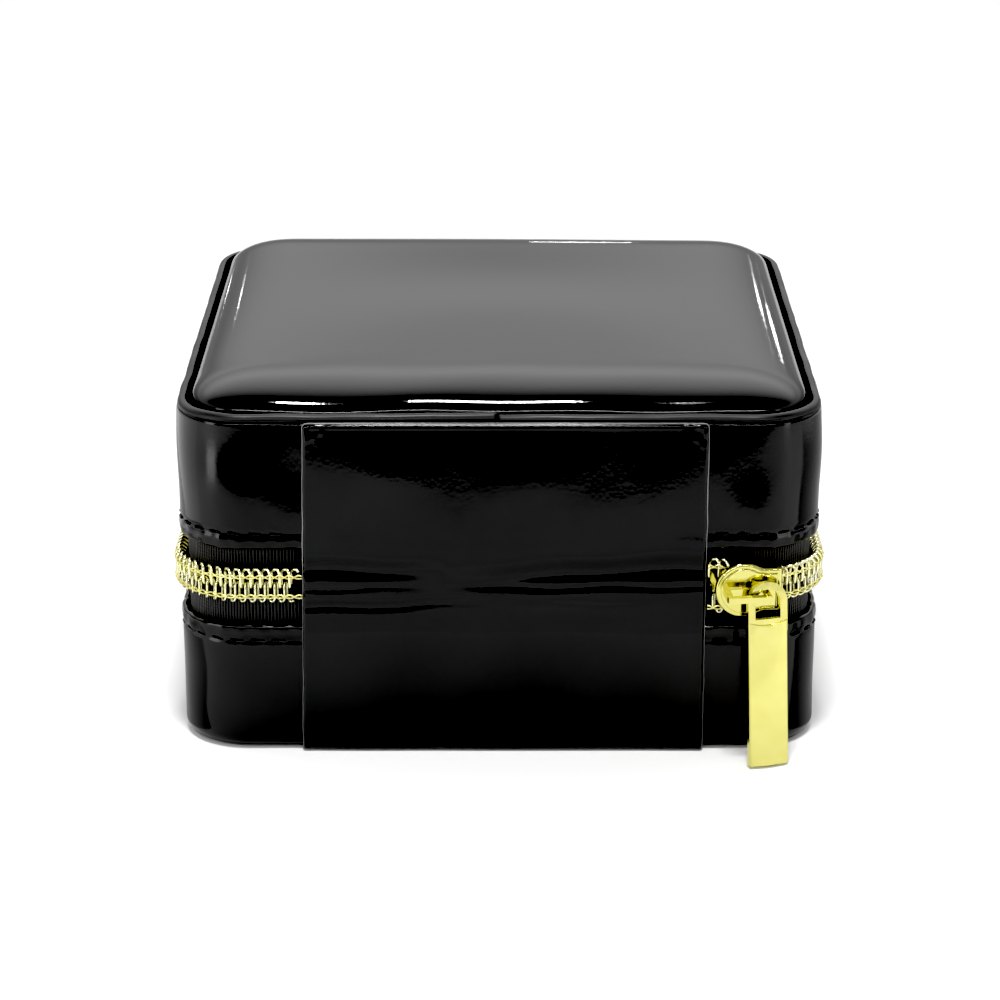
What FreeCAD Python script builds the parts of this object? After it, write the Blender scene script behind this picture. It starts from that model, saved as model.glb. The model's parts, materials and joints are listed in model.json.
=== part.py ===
"""Travel jewellery case: a square leather box with a padded lid, a coil zip all round
and a leather hinge panel on the back.

Millimetres, +Z up. The origin is the centre of the underside. The opening front faces -Y and
the hinge panel is on the back, +Y. An inset is a distance inwards from the leather's outer
face, so a negative inset stands proud of it.
"""
import FreeCAD, Part
import math
import os

os.makedirs("parts", exist_ok=True)

# ---- driving dimensions -------------------------------------------------------------------
WIDTH = 100.0
DEPTH = 100.0
CORNER_R = 11.0
RIM_Z = 54.8
ZIP_Z = 27.5

LEATHER = 1.8
EDGE_LEATHER = 1.2
BOARD = 2.0
VELVET = 1.2
BASE_EDGE_Z = 20.8
LID_EDGE_Z = 33.3
BOTTOM_ROUND = 1.8

FRAME_IN = LEATHER + BOARD
LINER_IN = FRAME_IN + VELVET
LIP_Z = 33.0
LIP_GAP = 0.5
FLOOR_Z = 3.0
COVER_T = 1.0
TURNED_EDGE = 8.0

# zip: #5 coil sewn on 16 mm tapes
TAPE_OUT = EDGE_LEATHER
TAPE_IN = LEATHER
TAPE_SEWN_IN = 8.8
TAPE_HALF_SLOT = 1.1
COIL_PROUD = 1.0
COIL_H = 2.6
COIL_HALF_GAP = 0.15
OPEN_COIL_OFFSET = 3.0
OPEN_COIL_LENGTH = 5.2

# hinge panel
PANEL_X0 = -31.8
PANEL_X1 = 30.7
PANEL_T = 1.0
PANEL_TOP_Z = 53.8
PANEL_FOOT_Z = 0.4
PANEL_END_GAP = 0.3
PANEL_CORNER_R = 0.8

# padded lid
LID_BOARD_Z0 = 51.0
LID_BOARD_Z1 = 53.0
WALL_TOP_Z = 53.9
RIM_OUT = 0.25
RIM_IN = 1.5
CUSHION_IN = 2.4
CROWN_Z = 59.6
CUSHION_SKIN = 1.1
CUSHION_ROUND = 5.0

# inside of the base
N_ROLLS = 5
ROLL_Z1 = 17.0
ROLL_GAP = 0.6
DIVIDER_T = 1.6
DIVIDER_Y = 2.0
DIVIDER_Z1 = 28.0
LINING_Z1 = FLOOR_Z + VELVET

# inside of the lid
PAD_T = 2.0
POCKET_T = 1.0
POCKET_W = 78.0
POCKET_Y0 = -14.0
POCKET_Y1 = 42.0
HEM_T = 1.8
HEM_W = 3.0
TAB_XS = (-24.0, 0.0, 24.0)
TAB_W = 8.0
TAB_L = 14.0
TAB_T = 1.2
TAB_PIVOT_Y = -37.0
STRIP_Y0 = -43.0
STRIP_W = 70.0
STUD_R = 2.4
STUD_T = 0.8
STUD_GAP = 0.1
CAP_R = 3.4
CAP_T = 1.1
CAP_FROM_END = 0.6

# slider, in its own frame: X towards the hinge panel, Y outwards, Z up
SLIDER_X = -38.05
SLIDER_YAW = 7.0
PLATE_T = 1.0
OUTER_PLATE_Y = 1.3
BOSS_T = 0.3
BOSS_IN = 0.75
INNER_PLATE_Y = -2.65
INNER_PLATE_T = 0.9
HEAD_R = 4.35
HEAD_X = 0.75
TAIL_X = -5.2
TAIL_HALF = 3.45
FLANGE_T = 0.5
FLANGE_X1 = -0.6
FLANGE_END_Y = -1.0
POST_X0 = 2.2
POST_X1 = 4.6
POST_HALF = 0.85
BAIL_LEG_X = -2.4
BAIL_LEG_R = 0.6
BAIL_FAR_X0 = 3.0
BAIL_FAR_X1 = 4.0
BAIL_HALF = 0.45
BAIL_SEAT_T = 0.35
BAIL_SLOT = 3.0
BAIL_BAR_T = 1.1

# pull: one flat casting, an arched eye over a bar
PULL_W = 6.4
EYE_BAND = 1.15
EYE_T = 0.9
BAR_T = 1.8
PULL_YAW = 10.0
PULL_LEAN = 5.5
PULL_FOOT_Z = 0.4
EYE_CLEAR = 0.3
EYE_HOLE_DROP = 3.8
BAR_TOP_DROP = 4.1
BAR_TOP_SAG = 0.7
BAR_BULGE = 0.35
BAR_ROUND = 0.35


# ---- helpers ------------------------------------------------------------------------------
def save(shape, node):
    shape.exportStep("parts/" + node + ".step")


def block(x0, x1, y0, y1, z0, z1):
    return Part.makeBox(x1 - x0, y1 - y0, z1 - z0, FreeCAD.Vector(x0, y0, z0))


def plan_block(inset, z0, z1):
    """The case's rounded plan, moved inwards by inset, as a block from z0 to z1."""
    half_x = WIDTH / 2 - inset
    half_y = DEPTH / 2 - inset
    solid = block(-half_x, half_x, -half_y, half_y, z0, z1)
    uprights = [e for e in solid.Edges if abs(e.tangentAt(e.FirstParameter).z) > 0.99]
    return solid.makeFillet(CORNER_R - inset, uprights)


def plan_ring(inset_out, inset_in, z0, z1):
    over = 1.0
    return plan_block(inset_out, z0, z1).cut(plan_block(inset_in, z0 - over, z1 + over))


def rounded(solid, radius, choose):
    return solid.makeFillet(radius, [e for e in solid.Edges if choose(e)])


def flat_edge_at(z, tolerance=0.01):
    """Chooses the edges that lie wholly at height z."""
    return lambda e: abs(e.BoundBox.ZMin - z) < tolerance and e.BoundBox.ZLength < tolerance


def back_zone(x0, x1, z0, z1):
    """A block over the back wall between x0 and x1, used to split what runs round the case."""
    past = 10.0
    return block(x0, x1, DEPTH / 2 - CORNER_R, DEPTH / 2 + past, z0, z1)


# ---- zip ----------------------------------------------------------------------------------
def behind_panel():
    return back_zone(PANEL_X0 - PANEL_END_GAP, PANEL_X1 + PANEL_END_GAP, 0.0, RIM_Z)


def corner_zones():
    """The back wall from the panel's edge to the end of each back corner: slider side, other side."""
    past = 10.0
    slider_side = back_zone(-WIDTH / 2 - past, PANEL_X0, 0.0, RIM_Z)
    other_side = back_zone(PANEL_X1, WIDTH / 2 + past, 0.0, RIM_Z)
    return slider_side, other_side


def tape(z0, z1):
    return plan_ring(TAPE_OUT, TAPE_IN, z0, z1).cut(behind_panel())


def coil(z0, z1):
    return plan_ring(-COIL_PROUD, TAPE_OUT, z0, z1).cut(behind_panel())


def zip_half(name, side):
    """One tape and its coil. side is -1 for the half on the base and +1 for the half on the lid."""
    tape_zs = sorted([ZIP_Z + side * TAPE_HALF_SLOT,
                      (BASE_EDGE_Z if side < 0 else LID_EDGE_Z) + side * TAPE_SEWN_IN])
    coil_zs = sorted([ZIP_Z + side * COIL_HALF_GAP,
                      ZIP_Z + side * (COIL_HALF_GAP + COIL_H)])
    slider_side, other_side = corner_zones()
    whole_tape = tape(*tape_zs)
    whole_coil = coil(*coil_zs)
    mouth_x = PANEL_X0 - PANEL_END_GAP - OPEN_COIL_LENGTH
    mouth = back_zone(mouth_x, PANEL_X0, 0.0, RIM_Z)
    open_coil = whole_coil.common(mouth)
    open_coil.translate(FreeCAD.Vector(0, 0, side * (OPEN_COIL_OFFSET - COIL_HALF_GAP - COIL_H / 2)))
    save(whole_tape.common(slider_side), "zip_tape_" + name + "_slider_corner")
    save(whole_coil.common(slider_side).cut(mouth), "zip_coil_" + name + "_slider_corner")
    save(open_coil, "zip_coil_" + name + "_open_end")
    if side > 0:
        save(whole_tape.common(other_side), "zip_tape_" + name + "_far_corner")
        save(whole_coil.common(other_side), "zip_coil_" + name + "_far_corner")
        whole_tape = whole_tape.cut(other_side)
        whole_coil = whole_coil.cut(other_side)
    save(whole_tape.cut(slider_side), "zip_tape_" + name)
    save(whole_coil.cut(slider_side), "zip_coil_" + name)


# ---- base ---------------------------------------------------------------------------------
def base():
    tape_z0 = BASE_EDGE_Z - TAPE_SEWN_IN
    wrap = rounded(plan_block(0.0, 0.0, BASE_EDGE_Z), BOTTOM_ROUND, flat_edge_at(0.0))
    wrap = wrap.cut(plan_block(LEATHER, COVER_T, RIM_Z))
    wrap = wrap.cut(plan_block(TURNED_EDGE, -COVER_T, RIM_Z))
    wrap = wrap.cut(tape(tape_z0, BASE_EDGE_Z + COVER_T))
    save(wrap, "base_leather_wrap")
    save(plan_block(TURNED_EDGE, 0.0, COVER_T), "base_bottom_cover")
    frame = plan_block(LEATHER, COVER_T, BASE_EDGE_Z).cut(plan_block(FRAME_IN, FLOOR_Z, RIM_Z))
    save(frame, "base_board_frame")
    save(plan_ring(FRAME_IN, LINER_IN, FLOOR_Z, LIP_Z), "base_velvet_wall")
    save(plan_block(LINER_IN, FLOOR_Z, LINING_Z1), "base_floor_lining")


def base_inserts():
    reach = WIDTH / 2 - LINER_IN
    gap = 0.2
    save(block(-reach + gap, reach - gap, DIVIDER_Y - DIVIDER_T / 2, DIVIDER_Y + DIVIDER_T / 2,
               LINING_Z1, DIVIDER_Z1), "divider_main")
    save(block(-DIVIDER_T / 2, DIVIDER_T / 2, DIVIDER_Y + DIVIDER_T / 2, reach - gap,
               LINING_Z1, DIVIDER_Z1), "divider_cross")
    y0 = -reach + gap
    y1 = DIVIDER_Y - DIVIDER_T / 2 - gap
    pitch = (y1 - y0) / N_ROLLS
    for number in range(N_ROLLS):
        start = y0 + number * pitch
        width = pitch - ROLL_GAP
        top = ROLL_Z1 - width / 2
        middle = start + width / 2
        # the first roll lies between the rounded front corners
        half_length = reach - gap if number else reach - CORNER_R + LINER_IN
        body = block(-half_length, half_length, start, start + width, LINING_Z1, top)
        crown = Part.makeCylinder(width / 2, 2 * half_length, FreeCAD.Vector(-half_length, middle, top),
                                  FreeCAD.Vector(1, 0, 0))
        save(body.fuse(crown).removeSplitter(), "ring_roll_%d" % (number + 1))


# ---- hinge panel --------------------------------------------------------------------------
def hinge_panel():
    y0 = DEPTH / 2
    y1 = DEPTH / 2 + PANEL_T
    save(block(PANEL_X0, PANEL_X1, y0, y1, PANEL_FOOT_Z, BASE_EDGE_Z), "hinge_panel_lower")
    save(block(PANEL_X0, PANEL_X1, y0, y1, BASE_EDGE_Z, LID_EDGE_Z), "hinge_panel_flex")
    upper = block(PANEL_X0, PANEL_X1, y0, y1, LID_EDGE_Z, PANEL_TOP_Z)
    save(rounded(upper, PANEL_CORNER_R, lambda e: e.BoundBox.YLength > PANEL_T / 2
                 and abs(e.CenterOfMass.z - PANEL_TOP_Z) < 0.01
                 and abs(e.CenterOfMass.y - (y0 + y1) / 2) < 0.01
                 and e.BoundBox.XLength < 0.01), "hinge_panel_upper")


# ---- lid ----------------------------------------------------------------------------------
def lid():
    wall_round = 0.6
    liner_z0 = LIP_Z + LIP_GAP
    wrap = rounded(plan_ring(0.0, LEATHER, LID_EDGE_Z, WALL_TOP_Z), wall_round,
                   lambda e: flat_edge_at(WALL_TOP_Z)(e) and outer_edge(e))
    wrap = wrap.cut(tape(LID_EDGE_Z - COVER_T, LID_EDGE_Z + TAPE_SEWN_IN))
    save(wrap, "lid_leather_wrap")
    save(plan_ring(RIM_OUT, RIM_IN, WALL_TOP_Z, RIM_Z), "lid_rim_binding")
    frame = plan_block(LEATHER, liner_z0, LID_BOARD_Z1).cut(plan_block(FRAME_IN, 0.0, LID_BOARD_Z0))
    save(frame, "lid_board_frame")
    save(plan_ring(FRAME_IN, LINER_IN, liner_z0, LID_BOARD_Z0), "lid_velvet_wall")
    cushion = rounded(plan_block(CUSHION_IN, LID_BOARD_Z1, CROWN_Z), CUSHION_ROUND, flat_edge_at(CROWN_Z))
    foam_in = CUSHION_IN + CUSHION_SKIN
    foam = rounded(plan_block(foam_in, LID_BOARD_Z1, CROWN_Z - CUSHION_SKIN),
                   CUSHION_ROUND - CUSHION_SKIN, flat_edge_at(CROWN_Z - CUSHION_SKIN))
    save(cushion.cut(foam), "lid_cushion_cover")
    save(foam, "lid_cushion_foam")


def outer_edge(edge):
    """True for an edge on the case's outer face, not on the inner side of the wall."""
    box = edge.BoundBox
    far_x = max(abs(box.XMin), abs(box.XMax))
    far_y = max(abs(box.YMin), abs(box.YMax))
    return max(far_x, far_y) > WIDTH / 2 - LEATHER / 2


def lid_inserts():
    pad_z = LID_BOARD_Z0 - PAD_T
    save(plan_block(LINER_IN, pad_z, LID_BOARD_Z0), "lid_inner_pad")
    pocket_z = pad_z - POCKET_T
    save(block(-POCKET_W / 2, POCKET_W / 2, POCKET_Y0 + HEM_W, POCKET_Y1, pocket_z, pad_z), "lid_pocket")
    save(block(-POCKET_W / 2, POCKET_W / 2, POCKET_Y0, POCKET_Y0 + HEM_W, pad_z - HEM_T, pad_z),
         "lid_pocket_elastic")
    strip_t = STUD_T + TAB_T
    strip_gap = 0.5
    pivot_z = pad_z - STUD_T - TAB_T / 2
    save(block(-STRIP_W / 2, STRIP_W / 2, STRIP_Y0, TAB_PIVOT_Y - TAB_T / 2 - strip_gap,
               pad_z - strip_t, pad_z), "necklace_strip")
    for number, x in enumerate(TAB_XS):
        y1 = TAB_PIVOT_Y + TAB_L
        stud_y = y1 - CAP_R - CAP_FROM_END
        knuckle = Part.makeCylinder(TAB_T / 2, TAB_W, FreeCAD.Vector(x - TAB_W / 2, TAB_PIVOT_Y, pivot_z),
                                    FreeCAD.Vector(1, 0, 0))
        strap = block(x - TAB_W / 2, x + TAB_W / 2, TAB_PIVOT_Y, y1, pivot_z - TAB_T / 2, pivot_z + TAB_T / 2)
        ends = [e for e in strap.Edges
                if e.BoundBox.ZLength > TAB_T / 2 and e.CenterOfMass.y > y1 - 0.1]
        strap = strap.makeFillet(TAB_W / 2 - 0.5, ends)
        save(strap.fuse(knuckle).removeSplitter(), "necklace_tab_%d" % (number + 1))
        cap_z = pivot_z - TAB_T / 2
        cap = Part.makeCylinder(CAP_R, CAP_T, FreeCAD.Vector(x, stud_y, cap_z - CAP_T))
        save(rounded(cap, CAP_T * 0.6, flat_edge_at(cap_z - CAP_T)), "snap_cap_%d" % (number + 1))
        stud_z = pad_z - STUD_T + STUD_GAP
        stud = Part.makeCylinder(STUD_R, pad_z - stud_z, FreeCAD.Vector(x, stud_y, stud_z))
        save(stud, "snap_stud_%d" % (number + 1))


# ---- slider and pull ----------------------------------------------------------------------
def placed(shape):
    """Moves a shape from the slider's own frame to its place at the start of the back corner."""
    shape.rotate(FreeCAD.Vector(0, 0, 0), FreeCAD.Vector(0, 0, 1), SLIDER_YAW)
    shape.translate(FreeCAD.Vector(SLIDER_X, DEPTH / 2, ZIP_Z))
    return shape


def along_y(radius, x, z, y0, y1):
    return Part.makeCylinder(radius, y1 - y0, FreeCAD.Vector(x, y0, z), FreeCAD.Vector(0, 1, 0))


def slider_plate(y0, y1, inset=0.0):
    """A plate with a round head and a straight tail, with hollow shoulders between them."""
    head_r = HEAD_R - inset
    tail_half = TAIL_HALF - inset
    head = along_y(head_r, HEAD_X, 0.0, y0, y1)
    tail = block(TAIL_X + inset, HEAD_X, y0, y1, -tail_half, tail_half)
    plate = head.fuse(tail).removeSplitter()
    meet_x = HEAD_X - math.sqrt(head_r ** 2 - tail_half ** 2)
    shoulder_r = 2.0 + inset
    shoulders = [e for e in plate.Edges
                 if e.BoundBox.YLength > (y1 - y0) / 2 and abs(e.CenterOfMass.x - meet_x) < 0.01]
    return plate.makeFillet(shoulder_r, shoulders)


def face_edge_at(y):
    """Chooses the edges that lie wholly in the face at y."""
    return lambda e: e.BoundBox.YLength < 0.01 and abs(e.CenterOfMass.y - y) < 0.01


def slider():
    plate_edge = 0.4
    boss_edge = 0.2
    plate_y1 = OUTER_PLATE_Y + PLATE_T
    face_y = plate_y1 + BOSS_T
    outer = rounded(slider_plate(OUTER_PLATE_Y, plate_y1), plate_edge, face_edge_at(plate_y1))
    boss = rounded(slider_plate(plate_y1 - BOSS_T, face_y, BOSS_IN), boss_edge, face_edge_at(face_y))
    inner = slider_plate(INNER_PLATE_Y - INNER_PLATE_T, INNER_PLATE_Y)
    post = block(POST_X0, POST_X1, INNER_PLATE_Y, OUTER_PLATE_Y, -POST_HALF, POST_HALF)
    body = outer.fuse([boss, inner, post])
    for side in (-1, 1):
        z0, z1 = sorted([side * (TAIL_HALF - FLANGE_T), side * TAIL_HALF])
        body = body.fuse(block(TAIL_X, FLANGE_X1, FLANGE_END_Y, OUTER_PLATE_Y, z0, z1))
    save(placed(body.removeSplitter()), "slider_body")

    bar_y0 = face_y + BAIL_SLOT
    bar_y1 = bar_y0 + BAIL_BAR_T
    bail = along_y(BAIL_LEG_R, BAIL_LEG_X, 0.0, face_y, bar_y1)
    bail = bail.fuse(block(BAIL_LEG_X, BAIL_FAR_X1, bar_y0, bar_y1, -BAIL_HALF, BAIL_HALF))
    bail = bail.fuse(block(BAIL_FAR_X0, BAIL_FAR_X1, face_y, bar_y1, -BAIL_HALF, BAIL_HALF))
    bail = bail.fuse(block(BAIL_LEG_X, BAIL_FAR_X1, face_y, face_y + BAIL_SEAT_T, -BAIL_HALF, BAIL_HALF))
    bail = bail.removeSplitter()
    far_corner = [e for e in bail.Edges
                  if e.BoundBox.ZLength > BAIL_HALF and abs(e.CenterOfMass.x - BAIL_FAR_X1) < 0.01
                  and abs(e.CenterOfMass.y - bar_y1) < 0.01]
    bail_round = 0.9
    save(placed(bail.makeFillet(bail_round, far_corner)), "slider_bail")


def pull():
    """The eye hangs round the bail's round leg, and the bar below it leans out at its foot."""
    arch_r = PULL_W / 2
    arch_z = BAIL_LEG_R + EYE_CLEAR + EYE_BAND - arch_r
    lean = math.radians(PULL_LEAN)
    foot = (PULL_FOOT_Z - ZIP_Z) / math.cos(lean)
    inner = arch_r - EYE_BAND
    eye_foot = -BAR_TOP_DROP - BAR_TOP_SAG - EYE_BAND
    eye = along_y(arch_r, 0.0, arch_z, -EYE_T / 2, EYE_T / 2)
    eye = eye.fuse(block(-arch_r, arch_r, -EYE_T / 2, EYE_T / 2, eye_foot, arch_z))
    hole = along_y(inner, 0.0, arch_z, -EYE_T, EYE_T)
    hole = hole.fuse(block(-inner, inner, -EYE_T, EYE_T, -EYE_HOLE_DROP, arch_z))
    eye = eye.cut(hole).removeSplitter()
    # the bar's front is a shallow curve across its width, and its top edge a hollow curve
    half = PULL_W / 2
    front = BAR_T / 2
    left = FreeCAD.Vector(-half, front - BAR_BULGE, foot)
    crest = FreeCAD.Vector(0, front, foot)
    right = FreeCAD.Vector(half, front - BAR_BULGE, foot)
    back_right = FreeCAD.Vector(half, -BAR_T / 2, foot)
    back_left = FreeCAD.Vector(-half, -BAR_T / 2, foot)
    outline = Part.Wire([Part.Arc(left, crest, right).toShape(),
                         Part.makeLine(right, back_right),
                         Part.makeLine(back_right, back_left),
                         Part.makeLine(back_left, left)])
    bar = Part.Face(outline).extrude(FreeCAD.Vector(0, 0, -BAR_TOP_DROP - foot))
    bar = rounded(bar, BAR_ROUND, lambda e: e.BoundBox.ZLength > 1.0)
    hollow_r = (half ** 2 + BAR_TOP_SAG ** 2) / (2 * BAR_TOP_SAG)
    bar = bar.cut(along_y(hollow_r, 0.0, hollow_r - BAR_TOP_DROP - BAR_TOP_SAG, -BAR_T, BAR_T))
    casting = bar.fuse(eye).removeSplitter()
    casting.rotate(FreeCAD.Vector(0, 0, 0), FreeCAD.Vector(1, 0, 0), PULL_LEAN)
    casting.rotate(FreeCAD.Vector(0, 0, 0), FreeCAD.Vector(0, 0, 1), PULL_YAW)
    mid_slot = OUTER_PLATE_Y + PLATE_T + BOSS_T + (BAIL_SEAT_T + BAIL_SLOT) / 2
    casting.translate(FreeCAD.Vector(BAIL_LEG_X, mid_slot, 0))
    save(placed(casting), "zip_pull")


base()
base_inserts()
hinge_panel()
lid()
lid_inserts()
zip_half("lower", -1)
zip_half("upper", 1)
slider()
pull()
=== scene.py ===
"""Looks of the travel jewellery case: patent leather, coil zip, padded lid and velvet inside.

Shapes are worked out in millimetres round the case's rounded plan, and made in metres.
"""
import json
import math
import bpy
import bmesh
import numpy as np
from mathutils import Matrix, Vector


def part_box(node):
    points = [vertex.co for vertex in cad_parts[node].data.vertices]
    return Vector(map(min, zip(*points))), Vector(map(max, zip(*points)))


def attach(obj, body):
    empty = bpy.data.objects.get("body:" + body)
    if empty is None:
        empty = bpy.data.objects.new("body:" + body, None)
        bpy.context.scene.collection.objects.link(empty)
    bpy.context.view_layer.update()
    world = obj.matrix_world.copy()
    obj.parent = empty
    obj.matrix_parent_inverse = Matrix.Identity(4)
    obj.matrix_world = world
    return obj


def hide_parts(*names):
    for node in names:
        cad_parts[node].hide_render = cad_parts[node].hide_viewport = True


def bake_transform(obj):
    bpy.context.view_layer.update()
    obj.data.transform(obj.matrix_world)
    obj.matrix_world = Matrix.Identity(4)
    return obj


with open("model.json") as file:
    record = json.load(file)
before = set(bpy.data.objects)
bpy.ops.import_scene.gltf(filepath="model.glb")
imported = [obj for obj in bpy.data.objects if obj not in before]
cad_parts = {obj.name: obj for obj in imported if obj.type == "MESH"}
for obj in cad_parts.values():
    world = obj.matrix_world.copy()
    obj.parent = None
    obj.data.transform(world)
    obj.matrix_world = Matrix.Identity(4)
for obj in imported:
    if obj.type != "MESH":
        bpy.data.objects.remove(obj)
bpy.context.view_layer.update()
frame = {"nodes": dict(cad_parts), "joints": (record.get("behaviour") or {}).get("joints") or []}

MM = 0.001


def box_mm(node):
    """A CAD node's box at rest, in millimetres."""
    low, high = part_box(node)
    return np.array(low) / MM, np.array(high) / MM


# ---- sizes in millimetres, from the frame where it has them ----
WRAP_HI = box_mm("base_leather_wrap")[1]
LID_LO, LID_HI = box_mm("lid_leather_wrap")
HALF = WRAP_HI[0]
CORNER_R = 11.0
FLAT = HALF - CORNER_R
CORNER_LEN = math.pi / 2 * CORNER_R
PATH_LEN = 8 * FLAT + 4 * CORNER_LEN
BASE_EDGE = WRAP_HI[2]
LID_EDGE = LID_LO[2]
WALL_TOP = LID_HI[2]
PANEL_LO = box_mm("hinge_panel_lower")[0]
PANEL_HI = box_mm("hinge_panel_upper")[1]
PANEL_X0, PANEL_X1 = PANEL_LO[0], PANEL_HI[0]
HINGE = np.array(next(j for j in frame["joints"] if j["name"] == "lid_hinge")["pos_m"]) / MM
ZIP_Z = HINGE[2]

TURNED_R = 0.45  # how the leather's edge turns in over the tape
STITCH_PITCH = 3.25
STITCH_DROP = 2.5  # from the turned edge to the stitches
STITCH_SINK = -0.12
THREAD_R = 0.17
TAPE_OUT = -1.2  # the tape's faces, inwards from the leather's face
TAPE_IN = -1.8
LIFT = 0.50  # how far the lid's far side stands proud, and its left side again
LIFT_FROM = 45.0  # the lid's walls stand as drawn below this height


# ---- the plan path ----
def plan(s):
    """Points and outward normals of the case's outline at distances s from the middle of the
    back, going towards -X first. Works on arrays of any shape."""
    s = np.mod(np.asarray(s, float), PATH_LEN)
    lengths = [FLAT] + [CORNER_LEN, 2 * FLAT] * 3 + [CORNER_LEN, FLAT]
    edges = np.concatenate([[0], np.cumsum(lengths)])
    k = np.clip(np.searchsorted(edges, s, side="right") - 1, 0, len(lengths) - 1)
    along = s - edges[k]
    x, y, nx, ny = (np.zeros_like(s) for _ in range(4))
    for i in range(len(lengths)):
        m = k == i
        side, corner = divmod(i, 2)
        a = math.pi / 2 * (side + 1)
        if corner:
            a = a + along[m] / CORNER_R
            nx[m], ny[m] = np.cos(a), np.sin(a)
            x[m] = FLAT * (-1, -1, 1, 1)[side] + CORNER_R * nx[m]
            y[m] = FLAT * (1, -1, -1, 1)[side] + CORNER_R * ny[m]
        else:
            t = along[m] - (FLAT if side else 0)
            nx[m], ny[m] = math.cos(a), math.sin(a)
            x[m] = HALF * math.cos(a) - t * math.sin(a)
            y[m] = HALF * math.sin(a) + t * math.cos(a)
    return x, y, nx, ny


def on_plan(s, off, z):
    """Points in millimetres at distance s, off outwards from the leather's face, and height z."""
    x, y, nx, ny = plan(s)
    return np.stack([x + off * nx, y + off * ny, z + 0 * x], axis=-1)


def lid_lift(x, y):
    """How much higher than drawn the padded lid stands: its far left side is a little proud."""
    far = np.clip(0.5 - y / (2 * HALF), 0, 1)
    left = np.clip(0.5 + x / (2 * HALF), 0, 1)
    return LIFT * far + LIFT * far * left


def lift_lid(obj, low):
    """Lifts a lid piece's points, fully at the rim's height and not at all below low."""
    co = get_co(obj) / MM
    share = np.clip((co[:, 2] - low) / (WALL_TOP - low), 0, 1)
    co[:, 2] += share * lid_lift(co[:, 0], co[:, 1])
    set_co(obj, co * MM)


def soft_noise(a, b, seed):
    """Smooth, repeatable wandering between about -1 and 1 over two coordinates."""
    waves, low, high = 9, 0.5, 3.0
    r = np.random.default_rng(seed)
    total = 0
    for _ in range(waves):
        fa, fb = r.uniform(low, high, 2) * r.choice([-1, 1], 2)
        total = total + np.sin(fa * a + fb * b + r.uniform(0, 2 * math.pi))
    return total / math.sqrt(waves)


# ---- mesh helpers ----
def add_mesh(name, verts, faces, smooth=True, uv=None):
    mesh = bpy.data.meshes.new(name)
    mesh.from_pydata([tuple(v) for v in np.asarray(verts) * MM], [], faces)
    mesh.validate()
    if smooth:
        mesh.polygons.foreach_set("use_smooth", [True] * len(mesh.polygons))
    if uv is not None:
        layer = mesh.uv_layers.new(name="UVMap")
        loops = np.zeros(len(mesh.loops), int)
        mesh.loops.foreach_get("vertex_index", loops)
        layer.data.foreach_set("uv", np.asarray(uv)[loops].ravel())
    obj = bpy.data.objects.new(name, mesh)
    bpy.context.scene.collection.objects.link(obj)
    mesh.update()
    return obj


def get_co(obj):
    co = np.zeros(len(obj.data.vertices) * 3)
    obj.data.vertices.foreach_get("co", co)
    return co.reshape(-1, 3)


def set_co(obj, co):
    obj.data.vertices.foreach_set("co", np.asarray(co).ravel())
    obj.data.update()


def evaluated(obj):
    """The object as its modifiers leave it."""
    return obj.evaluated_get(bpy.context.evaluated_depsgraph_get())


def grid_faces(nu, nv, wrap_u, wrap_v, start=0):
    """Four-sided faces over nu rows of nv points, joined round where a wrap is asked for."""
    faces = []
    for i in range(nu if wrap_u else nu - 1):
        a, b = i * nv, (i + 1) % nu * nv
        for j in range(nv if wrap_v else nv - 1):
            k = (j + 1) % nv
            faces.append((start + a + j, start + b + j, start + b + k, start + a + k))
    return faces


def outward(obj, weld=False):
    """Turns all faces outwards, after joining coincident points if weld is set."""
    bm = bmesh.new()
    bm.from_mesh(obj.data)
    if weld:
        bmesh.ops.remove_doubles(bm, verts=bm.verts, dist=1e-7)
    bmesh.ops.recalc_face_normals(bm, faces=bm.faces)
    bm.to_mesh(obj.data)
    bm.free()
    return obj


def caps(nu, nv, start=0):
    """The two end faces of a grid joined round along each row."""
    last = start + (nu - 1) * nv
    return [tuple(start + j for j in reversed(range(nv))), tuple(last + j for j in range(nv))]


def two_sided(name, front, back):
    """A sheet with a front and a back grid of points, joined round their rim."""
    nu, nv = front.shape[:2]
    n = nu * nv
    faces = grid_faces(nu, nv, False, False)
    faces += [tuple(reversed(f)) for f in grid_faces(nu, nv, False, False, n)]
    rim = [(i, 0) for i in range(nu)] + [(nu - 1, j) for j in range(1, nv)]
    rim += [(i, nv - 1) for i in range(nu - 2, -1, -1)] + [(0, j) for j in range(nv - 2, 0, -1)]
    loop = [i * nv + j for i, j in rim]
    for a, b in zip(loop, loop[1:] + loop[:1]):
        faces.append((a, b, n + b, n + a))
    points = np.concatenate([front.reshape(-1, 3), back.reshape(-1, 3)])
    return outward(add_mesh(name, points, faces))


def capped(name, rings):
    """A skin over rings of equally many points, closed at both ends."""
    nu, nv = len(rings), len(rings[0])
    faces = grid_faces(nu, nv, False, True) + caps(nu, nv)
    return outward(add_mesh(name, np.concatenate(rings), faces))


def sweep(name, s, profile, shape=None, closed=True):
    """Carries a closed profile of (off, z) points along the path at distances s. closed runs
    right round the case, and otherwise both ends are capped."""
    profile = np.asarray(profile, float)
    S, OFF = np.meshgrid(s, profile[:, 0], indexing="ij")
    _, Z = np.meshgrid(s, profile[:, 1], indexing="ij")
    if shape:
        S, OFF, Z = shape(S, OFF, Z)
    pts = on_plan(S, OFF, Z).reshape(-1, 3)
    nu, nv = len(s), len(profile)
    faces = grid_faces(nu, nv, closed, True)
    if not closed:
        faces += [face[::-1] for face in caps(nu, nv)]
    girth = np.concatenate([[0], np.cumsum(np.hypot(*np.diff(profile, axis=0).T))])
    uv = np.stack([np.repeat(s, nv), np.tile(girth, nu)], axis=-1) / 100
    return outward(add_mesh(name, pts, faces, uv=uv))


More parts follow.
